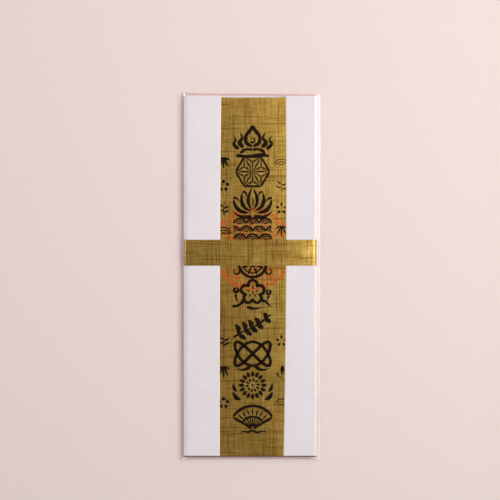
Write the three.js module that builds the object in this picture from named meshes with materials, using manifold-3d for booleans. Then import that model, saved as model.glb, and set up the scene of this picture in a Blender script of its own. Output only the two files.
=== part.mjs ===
// A paper-wrapped talisman in a clear film sleeve, lying on its back.
// Millimetres. +X is to the right of the front, +Y towards the top end, +Z out of the front.
// The origin is the middle of the whole object's underside.
import * as THREE from "three";
import { mergeVertices } from "three/addons/utils/BufferGeometryUtils.js";
import Module from "manifold-3d";

const wasm = await Module();
wasm.setup();

// Wrapped talisman
const paperLength = 245;
const paperWidth = 90;
const sideRound = 3; // from each side to where the front and the back become flat

// Board with its facing
const boardThickness = 2.5;
const boardEdgeRadius = 0.8;
const boardSideGap = 0.4; // between the facing and the paper at the nearest point of a side
const boardTopInset = 1.3;
const boardBottomInset = 0.1;
const facingThickness = 0.15;
const pasteThickness = 0.02;
const turnIn = 12; // facing folded over onto the back of the board
const mitreGap = 0.4;
const linerThickness = 0.1;
const linerMargin = 5;

// Folded slip behind the board
const slipLength = 170;
const slipWidth = 42;
const slipPaper = 0.06;
const slipFoldGap = 0.04;
const slipLayers = 3;

// Paper wrapper
const paperThickness = 0.18;
const leftFlap = 25;
const rightFlap = 22;
const leftFlapLean = 0.95; // how much further right a flap's inner edge is at the top end than at the bottom
const rightFlapLean = 1.45;
const hemWidth = 9;
const hemGap = 0.06;

// Gold band
const bandWidth = 17.3;
const bandThickness = 0.15;
const bandRise = 16; // above the middle of the paper
const lapLength = 16;
const lapStepLength = 3;
const lapStepGap = 0.4;
const glueThickness = 0.06;
const glueInset = 2;

// Clear sleeve
const filmThickness = 0.05;
const weldWidth = 0.6;
const leftFilmSpare = 0.5; // film that stands off each side, between the rounded part and the weld
const rightFilmSpare = 1.5;
const sideStandOff = 0.3;
const endClearance = 0.1;
const foldReachMiddle = 0.6; // from the end of the talisman to the bottom fold
const foldReachEar = 2.5;
const rimReachMiddle = 0.85; // from the end of the talisman to the open rim
const rimReachLeftEar = 2.4;
const rimReachRightEar = 1.2;
const earSharpness = 6; // power of the curve from the middle of an end out to its ears

// Clearances
const slideClearance = 0.06; // between pieces that slide on each other
const layerGap = 0.05; // between sheets that lie loose on each other

// Facets and tolerances
const sideSteps = 10;
const foldSteps = 6;
const edgeSteps = 5;
const filmHeightShares = [0, 0.28, 0.52, 0.72, 0.87, 0.96, 1];
const filmMiddleShares = [0.97, 0.88, 0.7, 0.4, 0];
const overrun = 5; // how far a cutting solid runs past what it cuts
const mergeDistance = 1e-4;

// Levels of the stack, from the surface it lies on upwards
const filmBackInside = filmThickness;
const lapUnderside = filmBackInside + slideClearance;
const glueUnderside = lapUnderside + bandThickness;
const bandUnderside = glueUnderside + glueThickness;
const wrapperUnderside = bandUnderside + bandThickness + slideClearance;
const slipUnderside = wrapperUnderside + paperThickness + layerGap;
const slipThickness = slipLayers * slipPaper + (slipLayers - 1) * slipFoldGap;
const linerUnderside = slipUnderside + slipThickness + layerGap;
const facingUnderside = linerUnderside + linerThickness + pasteThickness;
const boardUnderside = facingUnderside + facingThickness + pasteThickness;
const facingTop = boardUnderside + boardThickness + pasteThickness + facingThickness;
const hemUnderside = facingTop + layerGap;
const flapUnderside = hemUnderside + paperThickness + hemGap;
const flapTop = flapUnderside + paperThickness;
const bandFrontTop = flapTop + slideClearance + bandThickness;
const filmFrontInside = bandFrontTop + slideClearance;
const totalThickness = filmFrontInside + filmThickness;

// The rounded sides of the wrapper, the band and the film share these centres
const sideCentre = paperWidth / 2 - sideRound;
const middleLevel = (wrapperUnderside + flapTop) / 2;
const paperTop = paperLength / 2;

// Conversions between three.js geometry and solids

function toSolid(geometry) {
  const bare = geometry.clone();
  bare.deleteAttribute("normal");
  bare.deleteAttribute("uv");
  const merged = mergeVertices(bare, mergeDistance);
  const mesh = new wasm.Mesh({
    numProp: 3,
    vertProperties: merged.attributes.position.array,
    triVerts: new Uint32Array(merged.index.array),
  });
  return new wasm.Manifold(mesh);
}

function toGeometry(solid) {
  const mesh = solid.getMesh();
  const geometry = new THREE.BufferGeometry();
  geometry.setAttribute("position", new THREE.BufferAttribute(mesh.vertProperties, 3));
  geometry.setIndex(new THREE.BufferAttribute(mesh.triVerts, 1));
  const faceted = geometry.toNonIndexed();
  faceted.computeVertexNormals();
  return faceted;
}

// Forms that the pieces are made from

// The outline of a sheet's thickness, for a sheet whose middle follows a path across the talisman.
function sheetOutline(path, thickness, steps) {
  const line = path.getPoints(steps);
  const outer = [];
  const inner = [];
  line.forEach((point, i) => {
    const before = line[Math.max(i - 1, 0)];
    const after = line[Math.min(i + 1, line.length - 1)];
    const arriving = i ? point.clone().sub(before).normalize() : after.clone().sub(point).normalize();
    const leaving = i < line.length - 1 ? after.clone().sub(point).normalize() : arriving;
    const along = arriving.clone().add(leaving).normalize();
    const reach = thickness / 2 / along.dot(arriving);
    const offset = new THREE.Vector2(-along.y, along.x).multiplyScalar(reach);
    outer.push(point.clone().add(offset));
    inner.push(point.clone().sub(offset));
  });
  return new THREE.Shape([...outer, ...inner.reverse()]);
}

// A section drawn in X and Z, run along Y and centred on y = 0.
function runAlongY(section, length, curveSegments = edgeSteps) {
  const geometry = new THREE.ExtrudeGeometry(section, { depth: length, bevelEnabled: false, curveSegments });
  return geometry.rotateX(Math.PI / 2).translate(0, length / 2, 0);
}

// A flat slab whose two long edges are rounded.
function easedSlab(halfWidth, length, underside, thickness, radius) {
  const left = -halfWidth + radius;
  const right = halfWidth - radius;
  const low = underside + radius;
  const high = underside + thickness - radius;
  const section = new THREE.Shape();
  section.absarc(right, low, radius, -Math.PI / 2, 0);
  section.absarc(right, high, radius, 0, Math.PI / 2);
  section.absarc(left, high, radius, Math.PI / 2, Math.PI);
  section.absarc(left, low, radius, Math.PI, 1.5 * Math.PI);
  section.closePath();
  return runAlongY(section, length);
}

function plate(width, length, underside, thickness) {
  return new THREE.BoxGeometry(width, length, thickness).translate(0, 0, underside + thickness / 2);
}

// Half an ellipse round one side of the talisman, from the back to the front (side 1) or the other way (-1).
function roundSide(path, side, halfWidth, halfHeight, level) {
  const start = -side * Math.PI / 2;
  path.absellipse(side * sideCentre, level, halfWidth, halfHeight, start, start + Math.PI, false);
}

function paint(name, geometry, color, roughness, metalness = 0, opacity = 1) {
  const material = new THREE.MeshStandardMaterial({ color, roughness, metalness, opacity });
  material.transparent = opacity < 1;
  const mesh = new THREE.Mesh(geometry, material);
  mesh.name = name;
  return mesh;
}

// Board

// The widest half width at which the facing's rounded edges clear the inside of the paper's rounded sides.
function facingHalfWidth(edgeRadius) {
  const roundWidth = sideRound - paperThickness;
  const roundHeight = (flapTop - wrapperUnderside) / 2 - paperThickness;
  const lowCentre = facingUnderside + edgeRadius - middleLevel;
  const highCentre = facingTop - edgeRadius - middleLevel;
  let reach = Infinity;
  for (let step = 0; step <= sideSteps; step += 1) {
    const angle = (step / sideSteps) * (Math.PI / 2);
    const rise = edgeRadius * Math.sin(angle);
    for (const height of [highCentre + rise, lowCentre - rise]) {
      const paperReach = roundWidth * Math.sqrt(1 - (height / roundHeight) ** 2);
      reach = Math.min(reach, paperReach - edgeRadius * Math.cos(angle));
    }
  }
  return sideCentre + reach + edgeRadius - boardSideGap;
}

const facingWrap = facingThickness + pasteThickness;
const facingEdgeRadius = boardEdgeRadius + facingWrap;
const facingHalf = facingHalfWidth(facingEdgeRadius);
const facingLength = paperLength - boardTopInset - boardBottomInset;
const facingMiddle = (boardBottomInset - boardTopInset) / 2;
const boardHalf = facingHalf - facingWrap;
const boardLength = facingLength - 2 * facingWrap;

function coreBoard() {
  const board = easedSlab(boardHalf, boardLength, boardUnderside, boardThickness, boardEdgeRadius);
  return board.translate(0, facingMiddle, 0);
}

// One sheet over the front and the four edges, turned in on the back with mitred corners.
function goldFacing() {
  const inside = {
    half: boardHalf + pasteThickness,
    length: boardLength + 2 * pasteThickness,
    underside: boardUnderside - pasteThickness,
    thickness: boardThickness + 2 * pasteThickness,
    radius: boardEdgeRadius + pasteThickness,
  };
  const skin = easedSlab(facingHalf, facingLength, facingUnderside, facingTop - facingUnderside, facingEdgeRadius);
  const hollow = easedSlab(inside.half, inside.length, inside.underside, inside.thickness, inside.radius);
  const openHalf = facingHalf - turnIn;
  const openLength = facingLength - 2 * turnIn;
  const opening = plate(2 * openHalf, openLength, facingUnderside - overrun, overrun + facingWrap + pasteThickness);
  let solid = toSolid(skin).subtract(toSolid(hollow)).subtract(toSolid(opening));
  for (const right of [-1, 1]) {
    for (const top of [-1, 1]) {
      const slot = plate(2 * turnIn, mitreGap, facingUnderside - overrun, overrun + facingThickness);
      slot.rotateZ(right * top * Math.PI / 4);
      slot.translate(right * (facingHalf - turnIn / 2), top * (facingLength - turnIn) / 2, 0);
      solid = solid.subtract(toSolid(slot));
    }
  }
  return toGeometry(solid).translate(0, facingMiddle, 0);
}

function backLiner() {
  const width = 2 * (boardHalf - linerMargin);
  const length = boardLength - 2 * linerMargin;
  return plate(width, length, linerUnderside, linerThickness).translate(0, facingMiddle, 0);
}

// A sheet folded to and fro across its width.
function prayerSlip() {
  const pitch = slipPaper + slipFoldGap;
  const turn = pitch / 2;
  const half = slipWidth / 2 - turn - slipPaper / 2;
  const path = new THREE.Path();
  path.moveTo(-half, slipUnderside + slipPaper / 2);
  for (let layer = 0; layer < slipLayers; layer += 1) {
    const level = slipUnderside + slipPaper / 2 + layer * pitch;
    const side = layer % 2 ? -1 : 1;
    path.lineTo(side * half, level);
    if (layer < slipLayers - 1) {
      path.absarc(side * half, level + turn, turn, -Math.PI / 2, -Math.PI / 2 + side * Math.PI, side < 0);
    }
  }
  return runAlongY(sheetOutline(path, slipPaper, foldSteps / 2), slipLength).translate(0, facingMiddle, 0);
}

// Wrapper

function paperWrapper() {
  const half = paperThickness / 2;
  const roundWidth = sideRound - half;
  const roundHeight = (flapTop - wrapperUnderside) / 2 - half;
  const backLevel = wrapperUnderside + half;
  const hemLevel = hemUnderside + half;
  const flapLevel = flapUnderside + half;
  const turn = (flapLevel - hemLevel) / 2;
  const leftFold = -paperWidth / 2 + leftFlap - turn - half;
  const rightFold = paperWidth / 2 - rightFlap + turn + half;
  const path = new THREE.Path();
  path.moveTo(leftFold - hemWidth, hemLevel);
  path.lineTo(leftFold, hemLevel);
  path.absarc(leftFold, hemLevel + turn, turn, -Math.PI / 2, Math.PI / 2, false);
  path.lineTo(-sideCentre, flapLevel);
  roundSide(path, -1, roundWidth, roundHeight, middleLevel);
  path.lineTo(sideCentre, backLevel);
  roundSide(path, 1, roundWidth, roundHeight, middleLevel);
  path.lineTo(rightFold, flapLevel);
  path.absarc(rightFold, hemLevel + turn, turn, Math.PI / 2, 1.5 * Math.PI, false);
  path.lineTo(rightFold + hemWidth, hemLevel);
  const sheet = runAlongY(sheetOutline(path, paperThickness, sideSteps), paperLength);
  return leanFlapEdges(sheet);
}

// The flaps' inner edges and hems are not quite square to the ends: they lean over towards the top.
function leanFlapEdges(geometry) {
  const position = geometry.attributes.position;
  for (let i = 0; i < position.count; i += 1) {
    const onFlap = position.getZ(i) > facingTop;
    const inward = Math.abs(position.getX(i)) < sideCentre - paperThickness;
    if (onFlap && inward) {
      const lean = position.getX(i) < 0 ? leftFlapLean : rightFlapLean;
      position.setX(i, position.getX(i) + (lean * position.getY(i)) / paperLength);
    }
  }
  return geometry;
}

// Band

// A strip once round the wrapper. Its outer end steps down over its inner end to make the lap at the back.
function goldBand() {
  const half = bandThickness / 2;
  const grow = slideClearance + half;
  const innerLevel = bandUnderside + half;
  const lapLevel = lapUnderside + half;
  const frontLevel = bandFrontTop - half;
  const middle = (innerLevel + frontLevel) / 2;
  const roundHeight = (frontLevel - innerLevel) / 2;
  const lapStart = -lapLength / 2;
  const path = new THREE.Path();
  path.moveTo(lapStart, innerLevel);
  path.lineTo(sideCentre, innerLevel);
  roundSide(path, 1, sideRound + grow, roundHeight, middle);
  path.lineTo(-sideCentre, frontLevel);
  roundSide(path, -1, sideRound + grow, roundHeight, middle);
  path.lineTo(lapStart - lapStepGap - lapStepLength, innerLevel);
  path.lineTo(lapStart - lapStepGap, lapLevel);
  path.lineTo(-lapStart, lapLevel);
  return runAlongY(sheetOutline(path, bandThickness, sideSteps), bandWidth).translate(0, bandRise, 0);
}

function bandAdhesive() {
  const width = lapLength - 2 * glueInset;
  const length = bandWidth - 2 * glueInset;
  return plate(width, length, glueUnderside, glueThickness).translate(0, bandRise, 0);
}

// Sleeve

const filmLevel = totalThickness / 2;
const filmHalfHeight = filmFrontInside - filmLevel;
const filmRound = sideRound + slideClearance + bandThickness + sideStandOff;

// How far out the film is at a share of its height: round the side, then straight on to the weld.
function filmSide(share, spare) {
  const weld = filmRound + spare;
  const turnCosine = filmRound / weld;
  const turnShare = Math.sqrt(1 - turnCosine ** 2);
  if (share >= turnShare) {
    return sideCentre + filmRound * Math.sqrt(1 - share ** 2);
  }
  return sideCentre + weld + (filmRound * turnCosine - weld) * (share / turnShare);
}

// Places across the sleeve, from weld to weld, each with its share of the film's height.
function filmColumns(weld) {
  const left = filmHeightShares.map((share) => ({ x: -filmSide(share, leftFilmSpare), share }));
  const right = filmHeightShares.map((share) => ({ x: filmSide(share, rightFilmSpare), share })).reverse();
  const flat = filmMiddleShares.map((share) => ({ x: share * sideCentre, share: 1 }));
  const leftFlat = flat.map(({ x, share }) => ({ x: -x, share }));
  const columns = [...left, ...leftFlat, ...flat.reverse().slice(1), ...right];
  if (weld) {
    columns.unshift({ x: columns[0].x - weld, share: 0 });
    columns.push({ x: columns[columns.length - 1].x + weld, share: 0 });
  }
  return columns;
}

// A closed pouch form: the same height field over and under the film's middle level.
function pouch({ weld, halfThickness, endInset, rimMargin }) {
  const columns = filmColumns(weld);
  const ends = columns.map(({ x }) => {
    const spare = x < 0 ? leftFilmSpare : rightFilmSpare;
    const outward = (Math.abs(x) / (sideCentre + filmRound + spare + weldWidth)) ** earSharpness;
    const rimReachEar = x < 0 ? rimReachLeftEar : rimReachRightEar;
    const plateau = -paperTop - endClearance + endInset;
    const foldReach = foldReachMiddle + (foldReachEar - foldReachMiddle) * outward;
    return {
      plateau,
      fold: plateau - foldReach,
      rim: paperTop + rimReachMiddle + (rimReachEar - rimReachMiddle) * outward + rimMargin,
    };
  });
  const rows = [...filmHeightShares, null];
  const layer = (side) =>
    rows.map((share) =>
      columns.map((column, i) => {
        const end = ends[i];
        const y = share === null ? end.rim : end.fold + (end.plateau - end.fold) * share;
        const height = filmHalfHeight * Math.min(column.share, share ?? 1) + halfThickness;
        return [column.x, y, filmLevel + side * height];
      }),
    );
  return closedForm(layer(1), layer(-1));
}

// A closed surface from an upper and a lower grid of points that share one outline.
function closedForm(upper, lower) {
  const rows = upper.length;
  const columns = upper[0].length;
  const points = [...upper.flat(), ...lower.flat()].flat();
  const triangles = [];
  const at = (layer, row, column) => layer * rows * columns + row * columns + column;
  const quad = (a, b, c, d) => triangles.push(a, b, c, a, c, d);
  for (let row = 0; row < rows - 1; row += 1) {
    for (let column = 0; column < columns - 1; column += 1) {
      const corners = [[row, column], [row, column + 1], [row + 1, column + 1], [row + 1, column]];
      // The split runs along the hip, which climbs inward from either bottom corner.
      const turned = column < columns / 2 ? corners : [...corners.slice(1), corners[0]];
      quad(...turned.map(([r, c]) => at(0, r, c)));
      quad(...turned.map(([r, c]) => at(1, r, c)).reverse());
    }
  }
  for (let column = 0; column < columns - 1; column += 1) {
    const last = rows - 1;
    quad(at(1, 0, column), at(1, 0, column + 1), at(0, 0, column + 1), at(0, 0, column));
    quad(at(0, last, column), at(0, last, column + 1), at(1, last, column + 1), at(1, last, column));
  }
  for (let row = 0; row < rows - 1; row += 1) {
    const last = columns - 1;
    quad(at(0, row, 0), at(0, row + 1, 0), at(1, row + 1, 0), at(1, row, 0));
    quad(at(1, row, last), at(1, row + 1, last), at(0, row + 1, last), at(0, row, last));
  }
  const geometry = new THREE.BufferGeometry();
  geometry.setAttribute("position", new THREE.Float32BufferAttribute(points, 3));
  geometry.setIndex(triangles);
  const merged = mergeVertices(geometry, mergeDistance);
  const index = [];
  for (let i = 0; i < merged.index.count; i += 3) {
    const corners = [0, 1, 2].map((k) => merged.index.getX(i + k));
    if (new Set(corners).size === corners.length) {
      index.push(...corners);
    }
  }
  merged.setIndex(index);
  return merged;
}

// Film welded down both sides and folded at the bottom. The top is open, and the section is the same all
// the way to the rim, so the talisman slides out.
function clearSleeve() {
  const outside = pouch({ weld: weldWidth, halfThickness: filmThickness, endInset: 0, rimMargin: 0 });
  const inside = pouch({ weld: 0, halfThickness: 0, endInset: filmThickness, rimMargin: overrun });
  return toGeometry(toSolid(outside).subtract(toSolid(inside)));
}

// The assembly, moved so that the origin is under the middle of the whole object

const talisman = new THREE.Group();
talisman.position.x = (leftFilmSpare - rightFilmSpare) / 2;
talisman.position.y = (endClearance + foldReachEar - rimReachLeftEar) / 2;

const board = new THREE.Group();
board.add(paint("core_board", coreBoard(), "#cdb38a", 0.7));
board.add(paint("gold_facing", goldFacing(), "#97783a", 0.45, 0.7));
board.add(paint("back_liner", backLiner(), "#e9e2d4", 0.9));
board.add(paint("prayer_slip", prayerSlip(), "#efe9dc", 0.9));

const band = new THREE.Group();
band.add(paint("gold_band", goldBand(), "#97783a", 0.4, 0.7));
band.add(paint("band_adhesive", bandAdhesive(), "#e6d9b0", 0.5));

talisman.add(board, band);
talisman.add(paint("paper_wrapper", paperWrapper(), "#e6dcde", 0.85));
talisman.add(paint("clear_sleeve", clearSleeve(), "#f4f2ee", 0.08, 0, 0.2));

const part = new THREE.Group();
part.add(talisman);

export default part;
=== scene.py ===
"""A paper-wrapped talisman in a clear film sleeve, lying on a pale surface under soft light.

Metres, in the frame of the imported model: +X to the right of the front, +Y towards the open top end,
+Z out of the front. The origin is under the middle of the sleeve.
"""

import math

import bpy
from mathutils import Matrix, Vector, noise


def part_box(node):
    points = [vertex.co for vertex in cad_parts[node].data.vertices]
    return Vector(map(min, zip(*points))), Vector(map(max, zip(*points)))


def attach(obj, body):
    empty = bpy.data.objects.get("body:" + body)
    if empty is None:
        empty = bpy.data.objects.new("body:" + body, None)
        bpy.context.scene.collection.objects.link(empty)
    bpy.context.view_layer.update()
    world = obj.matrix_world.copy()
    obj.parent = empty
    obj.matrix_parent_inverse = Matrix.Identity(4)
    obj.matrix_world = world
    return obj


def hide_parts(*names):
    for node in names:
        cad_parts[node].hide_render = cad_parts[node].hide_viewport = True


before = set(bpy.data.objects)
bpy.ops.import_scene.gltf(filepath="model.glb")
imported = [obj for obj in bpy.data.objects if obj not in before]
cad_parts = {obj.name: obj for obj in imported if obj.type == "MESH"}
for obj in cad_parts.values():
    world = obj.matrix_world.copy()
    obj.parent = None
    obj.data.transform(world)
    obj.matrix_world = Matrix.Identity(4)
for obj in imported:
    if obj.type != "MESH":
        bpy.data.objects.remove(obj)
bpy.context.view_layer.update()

MM = 0.001

# The view: straight down, with this width of the surface of the talisman in the frame
VIEW_WIDTH = 339.4 * MM
VIEW_CENTRE = (-0.6 * MM, 17.8 * MM)
CAMERA_HEIGHT = 1.5
SENSOR_WIDTH = 36

# Wrapper
PAPER = 0.18 * MM
LEFT_SIDE_ROUND = 4.2 * MM
RIGHT_SIDE_ROUND = 1.7 * MM
LEFT_FLAP = 24.58 * MM
RIGHT_FLAP = 20.95 * MM
LEFT_LEAN = 0.88 * MM  # how much further right a flap's inner edge is at the top end than at the bottom
RIGHT_LEAN = 1.53 * MM
LEFT_BOW = 0.35 * MM  # how far a flap's inner edge curves to the right from its middle to either end
RIGHT_BOW = -0.9 * MM
HEM = 9 * MM
HEM_GAP = 0.06 * MM
FOLD_SPRING = 0.05 * MM  # how far a folded inner edge stands up, which the band still clears as it slides
FOLD_LIFT = 0.06 * MM  # how far its hem comes off the gold sheet there
FOLD_REACH = 0.42 * MM  # how wide the rounded edge of the fold is
SPRING_LENGTH = 6 * MM  # how far from it the flap lies flat again
CREASE = 1 * MM  # how far from a folded edge the painted highlight on the left flap and the painted shade on the right flap reach
FLAP_DIP = 0.15 * MM  # how far a flap falls between its hem and the rounded side

# Band
BAND = 0.15 * MM
BAND_SIDE_ROUND = 2.5 * MM
LAP = 16 * MM
LAP_STEP = 3 * MM
LAP_STEP_GAP = 0.4 * MM
GLUE = 0.06 * MM
BAND_LOWER = 0.25 * MM  # how much further down the strip reaches than its node

# Film
FILM = 0.05 * MM
LEFT_WELD = 0.9 * MM
RIGHT_WELD = 0.6 * MM
BEAD = 0.05 * MM  # how far the right weld's inner side rises
WELD_TOP = 0.2  # where on the right weld that is, and where it has fallen again, as shares of the weld
WELD_FOOT = 0.6
FILM_STANDOFF = 0.51 * MM  # how far the film's welds stand off the paper
LEFT_SPARE = 0.2 * MM  # and how much further on either side
RIGHT_SPARE = 1.5 * MM
FILM_SHOULDER = 1.3 * MM  # how far in from the paper's sides the film starts to fall
FILM_KNEE = 0.9 * MM  # how far in from its weld it falls away steeply
FILM_KNEE_SLOPE = 0.55
FOLD_REACH_MIDDLE = 0.6 * MM  # how far out the bottom fold reaches, halfway across and at an ear
FOLD_REACH_EAR = 2.5 * MM
RIM_REACH_MIDDLE = 1.4 * MM  # how far past the paper the top rim reaches
RIM_REACH_RIGHT = 0.85 * MM
RIM_REACH_LEFT_EAR = 2.4 * MM
RIM_REACH_RIGHT_EAR = 1.2 * MM
EAR_SHARPNESS = 6
FOLD_CLEARANCE = 0.1 * MM  # how far past the paper the film stays at its full height before its bottom fold
END_SHADOW_LINE = 0.48 * MM  # a painted shadow: the dark line along the paper's bottom edge
LINE_FADE = 0.5  # of its width, from where it is full to where it has gone
RIM_LINE = 0.35 * MM  # how far apart the shares of painted shade at the top rim are, from the rim inwards
# Shares of painted shade: at the top rim, on the left weld in the cast shadow, and the painted shadow along
# the paper's bottom edge
RIM_SHADE_SHARES = (0.11, 0.1, 0.08, 0.04)
WELD_SHADE_SHARE = 0.05
END_SHADOW_SHARE = 1
# Milkiness is partly the film's haze and partly painted light: at the bottom fold it lightens the shade past
# the paper's end, and down the right side it is a painted highlight that fades from the top end
END_HAZE_AND_LIGHT = 0.45
WELD_MILK = 0.75
LEFT_MILK_RISE = 0.7  # the lower, the sooner the film turns milky as it falls towards a side; on the right, towards the light, this is in part a painted highlight
RIGHT_MILK_RISE = 0.3
RIGHT_HAZE_GLARE_HIGH = 0.8  # the share of its milkiness, in part a painted highlight, that the right side keeps at the top end
RIGHT_HAZE_GLARE_LOW = 0.55  # and at the bottom end
RIGHT_WELD_HAZE_GLARE_LOW = 0.15  # and its weld there
FADE_REACH = 1.4  # of half the length, from where the milkiness and its painted highlight start to fade to where they're lowest

# Brushwork and seal, thin layers on the face of the gold sheet
SEAL_PROUD = 0.006 * MM
INK_PROUD = 0.02 * MM
STROKE_LIFT = 0.0004 * MM  # each stroke tops the one before it by this much, up to a number of them
LIFTED_STROKES = 24
STROKE_STEP = 0.45 * MM
THINNEST = 0.03 * MM
EDGE_ROUGHNESS = 0.16
ROUGH_PITCH = 0.8 * MM
ROUGH_SEED = 4.3
MOTIF_HALF = 14 * MM
SIDE_MOTIF_HALF = 5 * MM
SEAL_CENTRE = (0.8 * MM, 18.5 * MM)
SEAL_RADIUS = 27.5 * MM

# Places taken from the frame
paper_low, paper_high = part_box("paper_wrapper")
band_low, band_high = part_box("gold_band")
film_low, film_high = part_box("clear_sleeve")
facing_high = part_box("gold_facing")[1]
MIDDLE = (paper_low + paper_high) / 2
HALF_WIDTH = (paper_high.x - paper_low.x) / 2
HALF_LENGTH = (paper_high.y - paper_low.y) / 2
LEFT_CENTRE = HALF_WIDTH - LEFT_SIDE_ROUND
RIGHT_CENTRE = HALF_WIDTH - RIGHT_SIDE_ROUND


# Colours

def in_light(level):
    """A screen's level, 0 to 255, in linear light."""
    share = level / 255
    return share / 12.92 if level < 10.3 else ((share + 0.055) / 1.055) ** 2.4


def from_screen(red, green, blue):
    """A colour given as it looks on a screen, in linear light."""
    return [in_light(red), in_light(green), in_light(blue), 1]


def darker(colour, share):
    """A colour at a share of its light."""
    return [v * share for v in colour[:3]] + [1]


GOLD = from_screen(184, 142, 61)
GOLD_DARK = from_screen(125, 88, 29)
GOLD_LIGHT = from_screen(228, 195, 113)
GOLD_OLIVE = from_screen(167, 136, 54)
PAPER_WHITE = from_screen(231, 221, 223)
PAPER_SHADE = from_screen(224, 214, 216)
# Painted highlight on the left flap's folded edge, which faces the light, and painted shade on the right
# one's, which faces away
CREASE_PAINTED_HIGHLIGHT = from_screen(255, 232, 189)
CREASE_PAINTED_SHADE = from_screen(196, 180, 166)
LINER_PAPER = from_screen(232, 224, 208)
SLIP_PAPER = from_screen(238, 232, 220)
WOOD_PALE = from_screen(224, 200, 160)
WOOD_RING = from_screen(204, 172, 124)
WOOD_PORE = from_screen(168, 132, 88)
GLUE_DARK = from_screen(226, 212, 172)
GLUE_PALE = from_screen(240, 232, 206)
FILM_CLEAR = (1, 1, 1, 1)
FILM_VEIL = (0.7, 0.7, 0.7, 1)  # what milky film lets through
FILM_HAZE_AND_GLARE = from_screen(197, 185, 184)  # and what it adds, in part painted light
EDGE_SHADE_TINT = from_screen(243, 149, 137)  # painted shade on the film's edges, where it is faint, and where it is strong
EDGE_SHADOW = from_screen(88, 30, 14)
INK = from_screen(22, 10, 2)
INK_THIN = from_screen(52, 28, 8)
SEAL_RED = from_screen(204, 60, 12)
FLOOR = from_screen(229, 210, 205)
ROOM = from_screen(250, 242, 242)


# Node helpers

def node(tree, kind, inputs=None, **settings):
    """A shader node. Each input is a value or another node's output."""
    made = tree.nodes.new("ShaderNode" + kind)
    for key, value in settings.items():
        setattr(made, key, value)
    for key, value in (inputs or {}).items():
        if isinstance(value, bpy.types.NodeSocket):
            tree.links.new(value, made.inputs[key])
        else:
            made.inputs[key].default_value = value
    return made


def calc(tree, operation, *values):
    return node(tree, "Math", dict(enumerate(values)), operation=operation).outputs[0]


def total(tree, *values):
    result = values[0]
    for value in values[1:]:
        result = calc(tree, "ADD", result, value)
    return result


def ramp(tree, value, start, end, low=0.0, high=1.0):
    """value, from start to end, drawn out from low to high and held there."""
    inputs = {"Value": value, "From Min": start, "From Max": end, "To Min": low, "To Max": high}
    return node(tree, "MapRange", inputs).outputs[0]


def mixed(tree, factor, first, second):
    """Two colours mixed by a factor."""
    return node(tree, "Mix", {0: factor, 6: first, 7: second}, data_type="RGBA").outputs[2]


def clouds(tree, place, scale, detail=2.0, roughness=0.5):
    inputs = {"Vector": place, "Scale": scale, "Detail": detail, "Roughness": roughness}
    return node(tree, "TexNoise", inputs).outputs[0]


def stretched(tree, place, scales):
    """A place with each of its axes scaled, so that a pattern is drawn out along the small ones."""
    return node(tree, "VectorMath", {0: place, 1: scales}, operation="MULTIPLY").outputs[0]


def object_place(tree):
    return node(tree, "TexCoord").outputs["Object"]


def relief(tree, height, depth, strength=1.0):
    return node(tree, "Bump", {"Height": height, "Distance": depth, "Strength": strength}).outputs[0]


def surface(name, build):
    """A material whose one shader is what build(tree) returns."""
    material = bpy.data.materials.new(name)
    material.use_nodes = True
    tree = material.node_tree
    tree.nodes.clear()
    node(tree, "OutputMaterial", {"Surface": build(tree)})
    return material


def plain_shader(tree, **inputs):
    named = {key.replace("_", " ").title().replace("Ior", "IOR"): value for key, value in inputs.items()}
    return node(tree, "BsdfPrincipled", named).outputs[0]


# Gold sheet: fine even threads, and here and there a thicker one, darker or brighter for a part of its length

FINE_THREAD = 0.36 * MM
FINE_RUN = 9 * MM
FINE_TONE = 0.15
SLUB_THREAD = 0.5 * MM
SLUB_RUN = {"X": 46 * MM, "Y": 38 * MM}
SLUB_DARK = 0.39
SLUB_LIGHT = 0.3
PATCH_TONE = 0.08
OLIVE_COVER = 0.6
THREAD_DEPTH = 0.03 * MM
THREAD_RELIEF = 0.5
LANE_SEED = 7.137
FINE_LAYER = 3.7  # where the two kinds of thread are in their noise, and how far on the crossing threads are
SLUB_LAYER = 1.9
CROSS_LAYER = 7.6
COMMON_NOISE = (0.3, 0.7)  # nearly all of the noise is between these
DARK_NOISE = (0.6, 0.67)  # from a plain thread to one as dark, and as bright, as they come
BRIGHT_NOISE = (0.33, 0.26)


def lanes(tree, across, along, pitch, run, layer):
    """Two values for threads of a pitch: a tone for each, which changes along it, and the place across it."""
    threads = calc(tree, "DIVIDE", across, pitch)
    lane = calc(tree, "MULTIPLY", calc(tree, "FLOOR", threads), LANE_SEED)
    spot = node(tree, "CombineXYZ", {0: lane, 1: calc(tree, "DIVIDE", along, run), 2: layer}).outputs[0]
    return clouds(tree, spot, 1.0, detail=1.0), calc(tree, "PINGPONG", threads, 0.5)


def weave(tree, place):
    """The tone of the woven sheet, about 0.5 in the middle, and the height of its threads."""
    axes = node(tree, "SeparateXYZ", {0: place}).outputs
    tone = 0.5
    height = 0.0
    for layer, (along, across) in enumerate((("X", "Y"), ("Y", "X"))):
        step = CROSS_LAYER * layer
        fine, rise = lanes(tree, axes[across], axes[along], FINE_THREAD, FINE_RUN, FINE_LAYER + step)
        slub = lanes(tree, axes[across], axes[along], SLUB_THREAD, SLUB_RUN[along], SLUB_LAYER + step)[0]
        dark = ramp(tree, slub, *DARK_NOISE, 0.0, -SLUB_DARK)
        light = ramp(tree, fine, *BRIGHT_NOISE, 0.0, SLUB_LIGHT)
        tone = total(tree, tone, ramp(tree, fine, *COMMON_NOISE, -FINE_TONE, FINE_TONE), dark, light)
        height = total(tree, height, rise, light)
    return tone, height


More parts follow.
